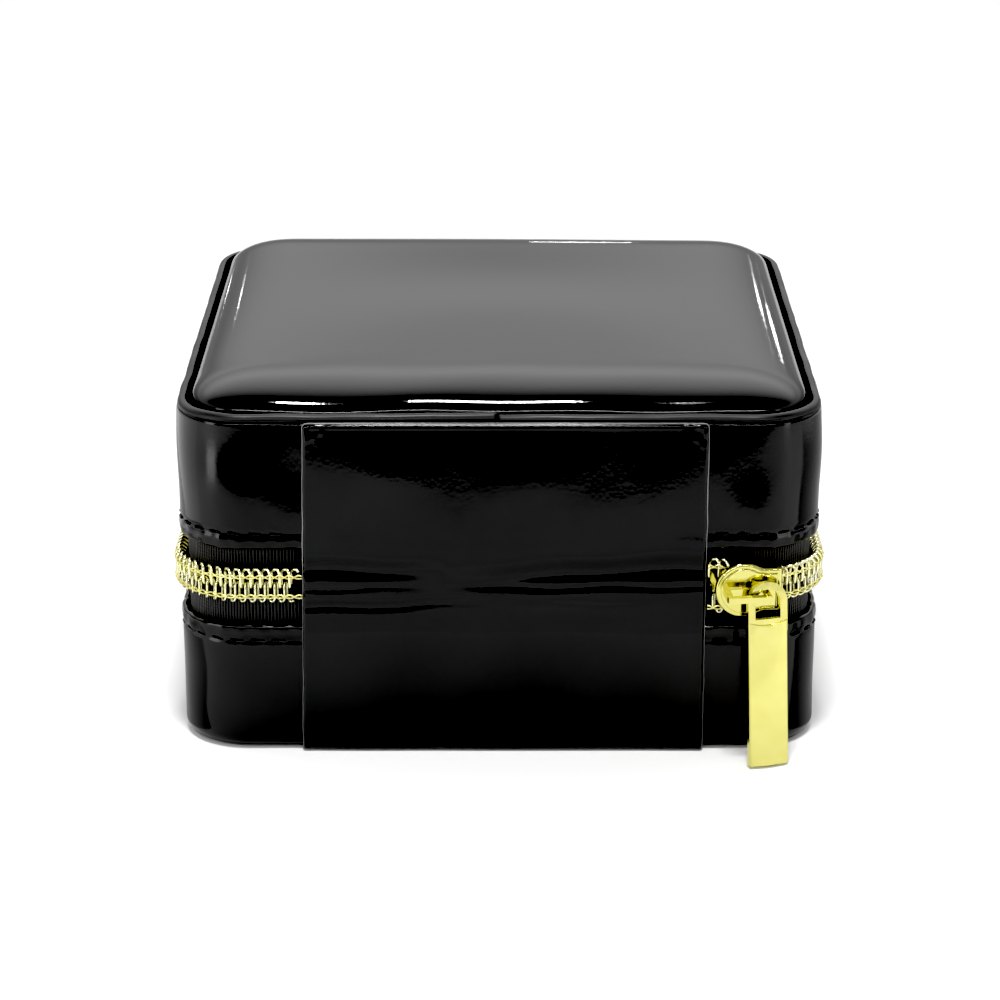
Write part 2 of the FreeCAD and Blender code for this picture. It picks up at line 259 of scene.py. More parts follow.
def spaced(start, stop, step):
    return np.linspace(start, stop, max(2, int(round(abs(stop - start) / step)) + 1))


def run(points, step):
    """A polyline of (off, z) points filled in at about the given step."""
    out = []
    for (a, b), (c, d) in zip(points, points[1:]):
        n = max(1, int(math.hypot(c - a, d - b) / step))
        out += [(a + (c - a) * i / n, b + (d - b) * i / n) for i in range(n)]
    return out + [points[-1]]


def arc(cx, cz, r, a0, a1, n):
    """Profile points on an arc, angles in degrees from outwards (+off) towards +z."""
    return [(cx + r * math.cos(math.radians(a0 + (a1 - a0) * i / n)),
             cz + r * math.sin(math.radians(a0 + (a1 - a0) * i / n))) for i in range(n + 1)]


def tubes(name, lines, radius, sides):
    """Round tubes with flat ends along several point lists, in one mesh. radius is a number, or
    one per point of a line."""
    verts, faces = [], []
    around = np.arange(sides) * 2 * math.pi / sides
    for line in lines:
        p = np.asarray(line, float)
        n = len(p)
        t = np.gradient(p, axis=0)
        t /= np.linalg.norm(t, axis=1)[:, None]
        u = np.cross(t[0], [0.3, 0.2, 0.9])
        u /= np.linalg.norm(u)
        rings = np.zeros((n, sides, 3))
        r = np.full(n, radius) if np.isscalar(radius) else np.asarray(radius)
        for i in range(n):
            u = u - t[i] * np.dot(u, t[i])
            u /= np.linalg.norm(u)
            w = np.cross(t[i], u)
            rings[i] = p[i] + r[i] * (np.cos(around)[:, None] * u + np.sin(around)[:, None] * w)
        start = sum(len(v) for v in verts)
        verts.append(rings.reshape(-1, 3))
        faces += grid_faces(n, sides, False, True, start) + caps(n, sides, start)
    return add_mesh(name, np.concatenate(verts), faces)


def soft_block(name, lo, hi, r, step, bulge=0.0, wander=0.0, seed=1):
    """A rounded block whose top is swollen by bulge and wanders a little."""
    lo, hi = np.asarray(lo, float), np.asarray(hi, float)
    ease = r * (1 - np.cos(np.linspace(0, math.pi / 2, 5)))
    axes = []
    for a, b in zip(lo, hi):
        inner = spaced(a + r, b - r, step)
        axes.append(np.concatenate([a + ease[:-1], inner, (b - ease[:-1])[::-1]]))
    verts, faces = [], []
    for d in range(3):
        e, f = [i for i in range(3) if i != d]
        for side in (lo[d], hi[d]):
            A, B = np.meshgrid(axes[e], axes[f], indexing="ij")
            P = np.zeros(A.shape + (3,))
            P[..., e], P[..., f], P[..., d] = A, B, side
            faces += grid_faces(*A.shape, False, False, sum(len(v) for v in verts))
            verts.append(P.reshape(-1, 3))
    p = np.concatenate(verts)
    q = np.clip(p, lo + r, hi - r)
    d = p - q
    length = np.linalg.norm(d, axis=1)
    p = q + d / length[:, None] * r
    mid, half = (lo + hi) / 2, (hi - lo) / 2
    g = (p - mid) / half
    crown = (1 - g[:, 0] ** 4) * (1 - g[:, 1] ** 4)
    top = g[:, 2] > 0
    p[:, 2] += bulge * crown * top
    p[:, 2] += wander * crown * soft_noise(p[:, 0] * 0.12, p[:, 1] * 0.12, seed) * top
    return outward(add_mesh(name, p, faces), weld=True)


# ---- materials ----
NOISE_LOW, NOISE_HIGH = 0.3, 0.7


def put_node(tree, kind, **values):
    """Adds a node, its inputs given as numbers or as the outputs linked to them."""
    n = tree.nodes.new("ShaderNode" + kind)
    for key, value in values.items():
        socket = n.inputs[key.replace("_", " ")]
        if hasattr(value, "is_output"):
            tree.links.new(value, socket)
        else:
            socket.default_value = value
    return n


class Nodes:
    """A short way to write a procedural material."""

    def __init__(self, name):
        self.material = bpy.data.materials.new(name)
        self.material.use_nodes = True
        self.tree = self.material.node_tree
        self.shader = self.tree.nodes["Principled BSDF"]
        self.coords = self.tree.nodes.new("ShaderNodeTexCoord")

    def set(self, **values):
        for key, value in values.items():
            self.shader.inputs[key.replace("_", " ")].default_value = value
        return self

    def link(self, a, b):
        self.tree.links.new(a, b)

    def texture(self, kind, space="Object", **values):
        """A texture node of the given kind, laid out in the given coordinates."""
        return put_node(self.tree, "Tex" + kind, Vector=self.coords.outputs[space], **values)

    def noise(self, scale, detail=2.0, rough=0.5):
        return self.texture("Noise", Scale=scale, Detail=detail, Roughness=rough).outputs["Fac"]

    def voronoi(self, scale):
        return self.texture("Voronoi", Scale=scale).outputs["Distance"]

    def wave(self, scale, direction):
        n = self.texture("Wave", "UV", Scale=scale)
        n.bands_direction = direction
        return n.outputs["Fac"]

    def math(self, kind, a, b):
        n = self.tree.nodes.new("ShaderNodeMath")
        n.operation = kind
        for i, v in enumerate((a, b)):
            if hasattr(v, "is_output"):
                self.link(v, n.inputs[i])
            else:
                n.inputs[i].default_value = v
        return n.outputs[0]

    def spread(self, value, low, high):
        """A noise's usual range, spread from low to high."""
        return put_node(self.tree, "MapRange", Value=value, From_Min=NOISE_LOW,
                        From_Max=NOISE_HIGH, To_Min=low, To_Max=high).outputs["Result"]

    def colours(self, value, dark, light, low=NOISE_LOW, high=NOISE_HIGH):
        n = put_node(self.tree, "ValToRGB", Fac=value)
        for stop, position, colour in zip(n.color_ramp.elements, (low, high), (dark, light)):
            stop.position = position
            stop.color = (*colour, 1)
        self.link(n.outputs["Color"], self.shader.inputs["Base Color"])
        return self

    def bump(self, height, strength, distance_mm, under=None):
        n = put_node(self.tree, "Bump", Height=height, Strength=strength, Distance=distance_mm * MM)
        if under is not None:
            self.link(under, n.inputs["Normal"])
        return n.outputs["Normal"]

    def finish(self, normal, roughness):
        self.link(normal, self.shader.inputs["Normal"])
        self.link(roughness, self.shader.inputs["Roughness"])
        return self.material


def patent_leather(name, dark=0.0018, light=0.0035, gloss=(0.08, 0.18), specular=0.5, pebble=0.35):
    m = Nodes(name).set(Specular_IOR_Level=specular)
    cloud = m.noise(55, 3.0, 0.55)
    m.colours(cloud, (dark,) * 3, (light, light, light * 1.04))
    grain = m.bump(m.voronoi(1500), pebble, 0.012)
    peel = m.bump(m.noise(420, 2.0), 0.25, 0.03, grain)
    return m.finish(peel, m.spread(m.noise(90, 4.0), *gloss))


def velvet(name, dark, light, scale=2600):
    m = Nodes(name).set(Specular_IOR_Level=0.12, Sheen_Weight=0.55, Sheen_Roughness=0.35,
                        Sheen_Tint=(0.75, 0.75, 0.78, 1))
    m.colours(m.noise(140, 4.0, 0.6), dark, light)
    pile = m.bump(m.noise(scale, 2.0, 0.7), 0.6, 0.08)
    return m.finish(pile, m.spread(m.noise(400), 0.8, 0.95))


def gold(name, dark, light, roughness, scratch=0.08):
    m = Nodes(name).set(Metallic=1.0)
    m.colours(m.noise(260, 3.0), dark, light)
    brushed = m.bump(m.noise(1800, 2.0), scratch, 0.01)
    return m.finish(brushed, m.spread(m.noise(700, 3.0), *roughness))


def plain_grey(name, roughness, specular, dark, light):
    """A flat paint, hardly mottled."""
    m = Nodes(name).set(Roughness=roughness, Specular_IOR_Level=specular)
    return m.colours(m.noise(3.0), (dark,) * 3, (light,) * 3).material


def tape_cloth(name):
    m = Nodes(name).set(Specular_IOR_Level=0.15, Sheen_Weight=0.15, Sheen_Roughness=0.5)
    ribs = m.wave(60, "X")
    courses = m.wave(60, "Y")
    m.colours(ribs, (0.018, 0.018, 0.018), (0.048, 0.048, 0.048), 0.2, 0.8)
    weave = m.math("MULTIPLY", ribs, m.math("ADD", m.math("MULTIPLY", courses, 0.5), 0.5))
    return m.finish(m.bump(weave, 0.9, 0.12), m.spread(m.noise(500), 0.6, 0.85))


LEATHER = patent_leather("patent_leather")
CUSHION = patent_leather("cushion_patent", gloss=(0.04, 0.07), pebble=0.2)
PANEL = patent_leather("hinge_patent", gloss=(0.05, 0.13), pebble=0.3)
# light grey edge paint for the hinge panel's bead, its tone a painted highlight: the bright line a
# rounded edge catches
PAINTED_EDGE_HIGHLIGHT = patent_leather("painted_edge_highlight", dark=0.08, light=0.30, gloss=(0.12, 0.3), pebble=0.2)
BINDING = patent_leather("rim_edge", 0.006, 0.012, gloss=(0.35, 0.5), pebble=0.5)
SOLE = patent_leather("bottom_grain", 0.008, 0.014, gloss=(0.45, 0.6), specular=0.35, pebble=1.0)
STRAP = patent_leather("strap_leather", 0.006, 0.012, gloss=(0.3, 0.42), specular=0.4, pebble=0.8)
VELVET = velvet("velvet", (0.045, 0.045, 0.047), (0.075, 0.075, 0.079))
ROLL_VELVET = velvet("roll_velvet", (0.05, 0.05, 0.052), (0.085, 0.085, 0.089), 2200)
SATIN = velvet("pocket_satin", (0.055, 0.055, 0.058), (0.09, 0.09, 0.095), 3400)
GILT = gold("gilt_metal", (0.70, 0.655, 0.215), (0.75, 0.71, 0.255), (0.07, 0.14))
COIL_GOLD = gold("gilt_coil", (0.92, 0.89, 0.50), (1.0, 0.98, 0.72), (0.16, 0.30), 0.15)
THREAD_GOLD = gold("gilt_thread", (0.80, 0.74, 0.26), (0.98, 0.94, 0.46), (0.25, 0.4), 0.4)
SNAP = gold("snap_gilt", (0.80, 0.66, 0.30), (0.93, 0.80, 0.44), (0.14, 0.22), 0.1)
TAPE = tape_cloth("zip_tape")
THREAD = velvet("black_thread", (0.01, 0.01, 0.01), (0.03, 0.03, 0.03), 4000)
BOARD = velvet("board_paper", (0.008, 0.008, 0.008), (0.014, 0.014, 0.014), 900)


def dress(obj, material, body, replaces=()):
    """Gives a new piece its material, its body if one and what it stands for."""
    obj.data.materials.clear()
    obj.data.materials.append(material)
    if body:
        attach(obj, body)
    if replaces:
        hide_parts(*replaces)


def dress_node(node, material):
    obj = frame["nodes"][node]
    if not obj.material_slots:
        obj.data.materials.append(material)
    for s in obj.material_slots:
        s.link = "OBJECT"
        s.material = material


# ---- leather walls ----
def wall_shape(edge, toward, seed):
    """Puckers between the stitches and the edge, a groove along the stitches, and soft waves.

    toward is +1 where the stitched edge is the wall's top, -1 where it is its bottom."""
    line = edge - toward * STITCH_DROP
    pucker_depth, groove_depth, wave_depth, edge_wave = 0.16, 0.20, 0.10, 0.10
    groove_width = 0.42

    def shape(S, OFF, Z):
        outer = np.clip((OFF + 0.9) / 0.9, 0, 1)
        depth = toward * (edge - Z)
        between = np.clip(1 - np.abs(depth - STITCH_DROP * 0.5) / (STITCH_DROP * 0.62), 0, 1)
        jitter = 0.3 * soft_noise(S * 0.4, S * 0.13, seed)
        pucker = 0.5 + 0.5 * np.cos(2 * math.pi * S / STITCH_PITCH + jitter)
        groove = np.exp(-((Z - line) / groove_width) ** 2)
        off = OFF + outer * (pucker_depth * between * pucker
                             - groove * (groove_depth - 0.10 * pucker))
        off = off + outer * wave_depth * soft_noise(S * 0.11, Z * 0.16, seed + 1)
        near_edge = np.clip(1 - depth / 1.6, 0, 1)
        uneven = edge_wave * (pucker - 0.5) + edge_wave * soft_noise(S * 0.35, 0 * S, seed + 2)
        return S, off, Z + toward * near_edge * uneven

    return shape


def ledge(edge, toward, inside):
    """The stitched edge of a wall: along its inside, over the turned edge and past the seam."""
    inner = TAPE_OUT + 0.02
    bend = edge - toward * TURNED_R
    crest = 180 - toward * 90
    return (run([(inner, inside), (inner, bend)], 1.6)
            + arc(inner + TURNED_R, bend, TURNED_R, 180, crest, 3)
            + arc(-TURNED_R, bend, TURNED_R, crest, crest - toward * 90, 4)
            + run([(0, bend - toward * 0.2), (0, edge - toward * 5.0)], 0.28))


def leather_walls():
    s = np.arange(0, PATH_LEN, PATH_LEN / round(PATH_LEN / 0.42))
    foot_r, top_r = 1.9, 0.75
    base = (ledge(BASE_EDGE, 1, 12.2)
            + run([(0, BASE_EDGE - 5.3), (0, foot_r + 0.3)], 0.9)
            + arc(-foot_r, foot_r, foot_r, 0, -90, 7)
            + run([(-3.2, 0.0), (-7.9, 0.0)], 1.6)
            + [(-8.0, 0.3), (-8.0, 0.9), (-4.0, 0.95), (-1.75, 1.0), (-1.75, 6.0), (-1.75, 11.9)])
    wall = sweep("base_leather", s, base, wall_shape(BASE_EDGE, 1, 11))
    dress(wall, LEATHER, "base", ["base_leather_wrap"])

    lid = (ledge(LID_EDGE, -1, 41.9)
           + run([(0, LID_EDGE + 5.3), (0, WALL_TOP - 0.8)], 0.9)
           + arc(-top_r, WALL_TOP - top_r, top_r, 0, 90, 5)
           + [(-1.2, WALL_TOP), (-1.4, WALL_TOP - 0.1), (-1.45, WALL_TOP - 0.9),
              (-1.45, 48.0), (-1.45, 42.2)])
    wall = sweep("lid_leather", s, lid, wall_shape(LID_EDGE, -1, 23))
    lift_lid(wall, LIFT_FROM)
    dress(wall, LEATHER, "lid", ["lid_leather_wrap"])


def stitch_row(name, z, body, seed):
    """Lockstitches lying in their groove, each a short thread that dips at both ends. There are
    none behind the hinge panel."""
    r = np.random.default_rng(seed)
    half = 1.22
    lines = []
    count = int(round(PATH_LEN / STITCH_PITCH))
    pitch = PATH_LEN / count
    for k in range(count):
        mid = (k + 0.5) * pitch
        x, y = (v[0] for v in plan(np.array([mid]))[:2])
        if y > HALF - 0.5 and PANEL_X0 - 1 < x < PANEL_X1 + 1:
            continue
        t = np.linspace(-1, 1, 9)
        lean = r.uniform(-0.08, 0.08)
        lift = 0.10 * (1 - t ** 4) - 0.40 * t ** 8
        lines.append(on_plan(mid + half * t, STITCH_SINK + lift,
                             z + lean * t + r.uniform(-0.04, 0.04)))
    dress(tubes(name, lines, THREAD_R, 7), THREAD, body)


# ---- hinge panel ----
PANEL_THICK = 0.86
# creases in the fold: start (u across from -X, and height), climb, reach across, depth, width
CREASES = [(0.98, 30.4, -0.6, 0.34, 0.36, 1.45),
           (0.95, 27.2, 0.3, 0.26, 0.07, 0.45),
           (0.94, 24.1, 1.3, 0.46, 0.16, 0.8),
           (0.02, 30.6, -2.4, 0.64, 0.44, 1.7),
           (0.06, 27.5, -0.4, 0.52, 0.13, 0.5),
           (0.30, 24.3, 0.2, 0.26, 0.05, 0.7)]


def creases(u, Z):
    """How far each point of the panel sinks into a crease, or rises on the swell above it."""
    total = 0
    for start, height, climb, reach, depth, wide in CREASES:
        t = np.abs(u - start) / reach
        fade = np.clip(1 - t, 0, 1) ** 0.6
        above = Z - (height + climb * t ** 1.4 + 0.16 * np.sin(u * 23 + height))
        total = total - depth * fade * np.exp(-(above / wide) ** 2)
        total = total + 0.35 * depth * fade * np.exp(-((above - 1.5 * wide) / (1.1 * wide)) ** 2)
    return total


def panel_across(X, Z, u, from_side, from_top):
    """Across the case: the top corners are rounded, one side leans and both wander."""
    corner_r, lean, wander = 0.7, 0.9, 0.04
    pull_in = np.clip(corner_r - from_top, 0, corner_r)
    squeeze = corner_r - np.sqrt(np.clip(corner_r ** 2 - pull_in ** 2, 0, None))
    inwards = np.where(X < (PANEL_X0 + PANEL_X1) / 2, 1, -1)
    x = X + inwards * squeeze * np.clip(1 - from_side / 6, 0, 1)
    x = x - lean * u * np.clip(Z / PANEL_HI[2], 0, 1)
    return x + wander * soft_noise(Z * 0.5, 0 * Z, 17) * np.clip(1 - from_side / 3, 0, 1)


def panel_depth(X, Z, u, from_side, from_top):
    """The panel's front and back faces. The skin sinks a little, and folds into creases, where
    no board backs it, and rolls over at its edges."""
    span = np.clip(1 - np.abs(Z - ZIP_Z) / 7.4, 0, 1)
    hollow = -0.22 * span ** 0.7
    waves = 0.05 * soft_noise(X * 0.13, Z * 0.10, 5)
    side_roll = 0.05 * np.exp(-((from_side - 0.7) / 0.45) ** 2)
    top_roll = 0.05 * np.exp(-((from_top - 0.5) / 0.3) ** 2)
    edge = np.clip(from_side / 0.45, 0, 1) * np.clip(from_top / 0.45, 0, 1)
    lip = 0.45 * (1 - np.sqrt(np.clip(1 - (1 - edge) ** 2, 0, 1)))
    in_corner = np.clip(1 - np.hypot(from_side, from_top) / 5, 0, 1)
    crumple = 0.12 * in_corner * soft_noise(X * 1.6, Z * 1.3, 8)
    front = (HALF + PANEL_THICK + hollow + creases(u, Z) + waves + side_roll + top_roll - lip
             + crumple)
    back = HALF + 0.02 + hollow * 0.8 - 0.25 * span
    return front, np.minimum(back, front - 0.3)


def panel_edge(skin):
    """The panel's edge bead, up one side, along the top and down the other, wider towards the top.
    Its light grey is edge paint, lifted to be a painted highlight along the panel's edge."""
    nu, nv = skin.shape[:2]
    along = [(0, j) for j in range(nv)] + [(i, nv - 1) for i in range(1, nu)]
    along += [(nu - 1, j) for j in range(nv - 2, -1, -1)]
    line = np.array([skin[i, j] for i, j in along])
    # the bead carrying the painted highlight narrows towards the foot
    highlight_bead_radius = 0.05 + 0.08 * np.clip((line[:, 2] - 16) / 16, 0, 1)
    return outward(tubes("hinge_panel_edge", [line], highlight_bead_radius, 8))


def hinge_panel():
    """One leather panel from the foot to under the rim, creased where it folds."""
    edge_steps = np.array([0.0, 0.06, 0.15, 0.28, 0.44, 0.64, 0.9])
    xs = np.concatenate([PANEL_X0 + edge_steps, spaced(PANEL_X0 + 1.3, PANEL_X1 - 1.3, 0.45),
                         PANEL_X1 - edge_steps[::-1]])
    zs = np.concatenate([spaced(PANEL_LO[2], PANEL_HI[2] - 1.2, 0.4),
                         PANEL_HI[2] - edge_steps[::-1]])
    X, Z = np.meshgrid(xs, zs, indexing="ij")
    at = (X, Z, (X - PANEL_X0) / (PANEL_X1 - PANEL_X0),
          np.minimum(X - PANEL_X0, PANEL_X1 - X), PANEL_HI[2] - Z)
    x = panel_across(*at)
    front, back = panel_depth(*at)
    skin = np.stack([x, front, Z], -1)
    panel = two_sided("hinge_panel", skin, np.stack([x, back, Z], -1))
    dress(panel, PANEL, None,
          ["hinge_panel_lower", "hinge_panel_flex", "hinge_panel_upper"])
    bead = panel_edge(skin)
    # the bead's light grey is edge paint and a painted highlight along the panel's edge
    dress(bead, PAINTED_EDGE_HIGHLIGHT, None)
    for obj in (panel, bead):
        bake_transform(obj)


# ---- zip ----
# distances along the path: where the zip starts and ends beside the hinge panel, and the ends
# of the two corners where its upper half bends between base and lid
S_PANEL_RIGHT = -PANEL_X0 + 0.3
S_PANEL_LEFT = PATH_LEN - PANEL_X1 + 0.35
S_CORNER_END = FLAT + CORNER_LEN
S_FAR_CORNER = PATH_LEN - FLAT - CORNER_LEN
SLIDER = box_mm("slider_body")
S_SLIDER = -(SLIDER[0][0] + SLIDER[1][0]) / 2
COIL_GAP = 1.75  # how far each coil stands off the zip's middle where it is open
COIL_END = 0.3
COIL_RUN = S_PANEL_LEFT - S_PANEL_RIGHT - 2 * COIL_END
COIL_PITCH = COIL_RUN / round(COIL_RUN / 1.5)
FILAMENT_R = {-1: 0.18, 1: 0.25}
SEWING_R = 0.13


def opening(s):
    """How far each coil stands off the zip's middle, which it does behind the slider."""
    start, stop = S_SLIDER - 1.0, S_SLIDER - 4.0
    t = np.clip((start - s) / (start - stop), 0, 1)
    return COIL_GAP * t * t * (3 - 2 * t)


def coil_line(side, s0, s1):
    """The wound filament of one coil. Each turn is a straight leg in front, a tight head at the
    middle of the zip and a leg behind, and steps on to the next turn in a slanted outer loop."""
    start = S_PANEL_RIGHT + COIL_END + (0.0 if side > 0 else COIL_PITCH / 2)
    skipped = math.ceil((s0 - start) / COIL_PITCH - 1e-6)
    room = math.floor((S_PANEL_LEFT - COIL_END - start) / COIL_PITCH + 1e-6)
    count = min(math.ceil((s1 - start) / COIL_PITCH - 1e-6), room) - skipped
    first = start + skipped * COIL_PITCH
    # half the legs' spread, then the head, root and tip, up from the zip's middle
    half, head = (0.10, -0.28) if side > 0 else (0.19, -0.42)
    root, tip = 1.9, 2.62
    front, back = 0.62, -0.78
    turn = [(-half, root, front), (-half, 1.2, front + 0.05), (-half, head + 0.42, front),
            (-half * 0.9, head + 0.13, front - 0.22), (-half * 0.3, head, front - 0.62),
            (half * 0.3, head + 0.02, back + 0.30), (half * 0.9, head + 0.35, back),
            (half, 1.2, back), (half, root, back + 0.10),
            (half + 0.20, root + 0.36, back + 0.42), (half + 0.42, tip - 0.06, 0.0),
            (COIL_PITCH - half - 0.42, tip, front - 0.45),
            (COIL_PITCH - half - 0.12, root + 0.4, front - 0.10)]
    knots = np.array([(first + k * COIL_PITCH + a, b, c)
                      for k in range(count) for a, b, c in turn])
    line = rounded_line(knots, 2)
    s = line[:, 0]
    z = ZIP_Z + side * (line[:, 1] + opening(s))
    return s, line[:, 2], z


def rounded_line(knots, steps):
    """A smooth curve through the knots (Catmull-Rom)."""
    p = np.concatenate([[2 * knots[0] - knots[1]], knots, [2 * knots[-1] - knots[-2]]])
    a, b, c, d = p[:-3], p[1:-2], p[2:-1], p[3:]
    out = []
    for k in range(steps):
        t = k / steps
        out.append(0.5 * (2 * b + (c - a) * t + (2 * a - 5 * b + 4 * c - d) * t ** 2
                          + (3 * b - a - 3 * c + d) * t ** 3))
    line = np.stack(out, 1).reshape(-1, knots.shape[1])
    return np.concatenate([line, knots[-1:]])


def blended(obj):
    """Bakes the placement into the points of a stretch of the zip's upper half, where it peels off
    the base round a back corner and joins the lid after it.
    """
    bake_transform(obj)


def sewing_line(side, s0, s1, flip):
    """One strand of the chain stitch that holds a coil to its tape."""
    s = spaced(s0, s1, 0.19)
    wave = math.pi * s / COIL_PITCH + (math.pi if flip else 0)
    z = ZIP_Z + side * (1.6 + opening(s)) + 0.27 * np.sin(wave)
    off = 0.86 + 0.08 * np.cos(2 * wave)
    return s, off, z


# each stretch of the zip: name, side (-1 for the lower half), its ends along the path, its body
# (None where it bends), and the nodes its coil and its tape stand for
ZIP_PARTS = [
    ("lower", -1, S_PANEL_RIGHT, S_PANEL_LEFT, "base",
     ["zip_coil_lower", "zip_coil_lower_slider_corner", "zip_coil_lower_open_end"],
     ["zip_tape_lower", "zip_tape_lower_slider_corner"]),
    ("upper_slider_corner", 1, S_PANEL_RIGHT, S_CORNER_END, None,
     ["zip_coil_upper_slider_corner", "zip_coil_upper_open_end"],
     ["zip_tape_upper_slider_corner"]),
    ("upper", 1, S_CORNER_END, S_FAR_CORNER, "lid", ["zip_coil_upper"], ["zip_tape_upper"]),
    ("upper_far_corner", 1, S_FAR_CORNER, S_PANEL_LEFT, None,
     ["zip_coil_upper_far_corner"], ["zip_tape_upper_far_corner"])]


def zip_parts():
    for key, side, s0, s1, body, coil_nodes, tape_nodes in ZIP_PARTS:
        filament = on_plan(*coil_line(side, s0, s1))
        coil = outward(tubes("coil_" + key, [filament], FILAMENT_R[side], 8))
        dress(coil, COIL_GOLD, body, coil_nodes)
        strands = [on_plan(*sewing_line(side, s0, s1, flip)) for flip in (False, True)]
        sewing = outward(tubes("coil_sewing_" + key, strands, SEWING_R, 6))
        dress(sewing, THREAD_GOLD, body)
        strip = tape_strip("tape_" + key, side, s0, s1)
        dress(strip, TAPE, body, tape_nodes)
        if not body:
            for obj in (coil, sewing, strip):
                blended(obj)


def tape_strip(name, side, s0, s1):
    """A woven tape from under the coil to where it is sewn inside the leather."""
    seam = (BASE_EDGE if side < 0 else LID_EDGE) + side * 8.6
    edge = ZIP_Z + side * 0.45
    open_reach, wave = 2.2, 0.10
    s = spaced(s0, s1, 0.6)
    zs = spaced(edge, seam, 0.55)
    out = [(TAPE_OUT - 0.02, z) for z in zs]
    back = [(TAPE_IN + 0.04, z) for z in zs[::-1]]

    def shape(S, OFF, Z):
        near = np.clip(1 - np.abs(Z - edge) / open_reach, 0, 1)
        shown = np.clip(1 - np.abs(Z - (ZIP_Z + side * 4.4)) / 2.2, 0, 1)
        off = OFF + wave * shown * soft_noise(S * 0.22, Z * 0.5, 31 + side)
        return S, off, Z + side * near * opening(S)

    return sweep(name, s, out + back, shape, closed=False)


# ---- lid top ----
def rim_binding():
    """The turned strip round the lid's top, its ends butted together over the hinge panel."""
    lo, hi = box_mm("lid_rim_binding")
    seam = -0.3
    s = seam + spaced(0.05, PATH_LEN - 0.05, 0.6)
    z0, z1 = lo[2], hi[2]
    shoulder, inner_r = 0.85, 0.25
    profile = (run([(-1.5, z0 - 0.25), (-0.22, z0 - 0.25)], 0.5)
               + arc(-0.22 - shoulder, z1 - shoulder, shoulder, 8, 90, 7)
               + arc(-1.5 + inner_r, z1 - inner_r, inner_r, 90, 180, 4))

    def shape(S, OFF, Z):
        t = (S - s[0]) / (s[-1] - s[0])
        high = np.clip((Z - z0) / (z1 - z0), 0, 1)
        step = 0.30 * np.exp(-(1 - t) * 26) * high - 0.08 * np.exp(-t * 30) * high
        wander = 0.06 * soft_noise(S * 0.21, 0 * S, 41) * high
        return S, OFF + 0.05 * soft_noise(S * 0.3, 0 * S, 43), Z + step + wander

    strip = sweep("rim_binding", s, profile, shape, closed=False)
    lift_lid(strip, LIFT_FROM)
    dress(strip, BINDING, "lid", ["lid_rim_binding"])


SIDE_POINTS = 46  # along each side of the cushion's flat middle
GROW = 10  # the cloth is settled at this many times its size


def cushion():
    """The padded top: a patent skin over foam, its crown drawn as an even swell and then blown
    up by a cloth simulation at ten times size, whose small folds are smoothed away."""
    lo, hi = box_mm("lid_cushion_cover")
    half, spread, crown, dome = hi[0] + 0.25, 12.5, 4.55, 0.70
    edge_z = hi[2] - crown - dome - 0.15
    flat = half - spread
    base, away = cushion_outline(flat)
    rho = np.sin(np.linspace(math.pi / 2, 0.10, 21))
    # the crown is nearly flat in the middle and rolls down to its edge, at q = 1
    rings = [np.column_stack([base + spread * q * away, np.full(
        len(base), max(0.0, 1 - q ** 2.2) ** 0.5 * crown + edge_z)]) for q in rho]
    outer = rings[0]
    rings = [outer * [0.985, 0.985, 0] + [0, 0, lo[2]], outer * [1, 1, 0] + [0, 0, lo[2] + 0.25],
             outer - [0, 0, 0.35]] + rings
    n = len(base)
    faces = grid_faces(len(rings), n, False, True)
    faces.append(tuple(range(n)))
    # the flat middle is a square net, joined to the innermost ring
    net = np.linspace(-flat, flat, SIDE_POINTS)
    NX, NY = np.meshgrid(net, net, indexing="ij")
    middle = np.stack([NX, NY, np.full(NX.shape, edge_z + crown)], -1).reshape(-1, 3)
    first, last = len(rings) * n, (len(rings) - 1) * n
    faces += grid_faces(SIDE_POINTS, SIDE_POINTS, False, False, first)
    cell = np.rint((base + flat) / (2 * flat) * (SIDE_POINTS - 1)).astype(int)
    mate = first + cell[:, 0] * SIDE_POINTS + cell[:, 1]
    for i in range(n):
        j = (i + 1) % n
        face = (last + i, last + j, int(mate[j]), int(mate[i]))
        faces.append(face if mate[i] != mate[j] else face[:3])
    verts = np.concatenate(rings + [middle])
    near = np.clip((verts[:, 1] - 32) / 14, 0, 1) * (verts[:, 2] > edge_z)
    verts[:, 2] += 0.14 * near * soft_noise(verts[:, 0] * 0.10, verts[:, 1] * 0.05, 91)
    swell = (1 - (verts[:, 0] / half) ** 2).clip(0) * (1 - (verts[:, 1] / half) ** 2).clip(0)
    verts[:, 2] += dome * swell * (verts[:, 2] > edge_z)
    obj = outward(add_mesh("lid_cushion", verts * GROW, faces))
    settle_cushion(obj, edge_z)
    lift_lid(obj, WALL_TOP - 1.5)
    dress(obj, CUSHION, "lid", ["lid_cushion_cover", "lid_cushion_foam"])


def cushion_outline(flat):
    """Points round a square of the given half size, and the way each moves outwards: straight
    out along the sides, and in a fan, a little squarer than a circle, at the corners."""
    along = np.linspace(-1, 1, SIDE_POINTS)[:-1]
    fan = np.linspace(0, math.pi / 2, 15)[:-1]
    square = 2 / 2.6
    base, away = [], []
    for turn in range(4):
        c, q = round(math.cos(turn * math.pi / 2)), round(math.sin(turn * math.pi / 2))
        points = [(flat, flat * t, 1, 0) for t in along]
        points += [(flat, flat, math.cos(a) ** square, math.sin(a) ** square) for a in fan]
        for x, y, u, v in points:
            base.append((c * x - q * y, q * x + c * y))
            away.append((c * u - q * v, q * u + c * v))
    return np.array(base), np.array(away)


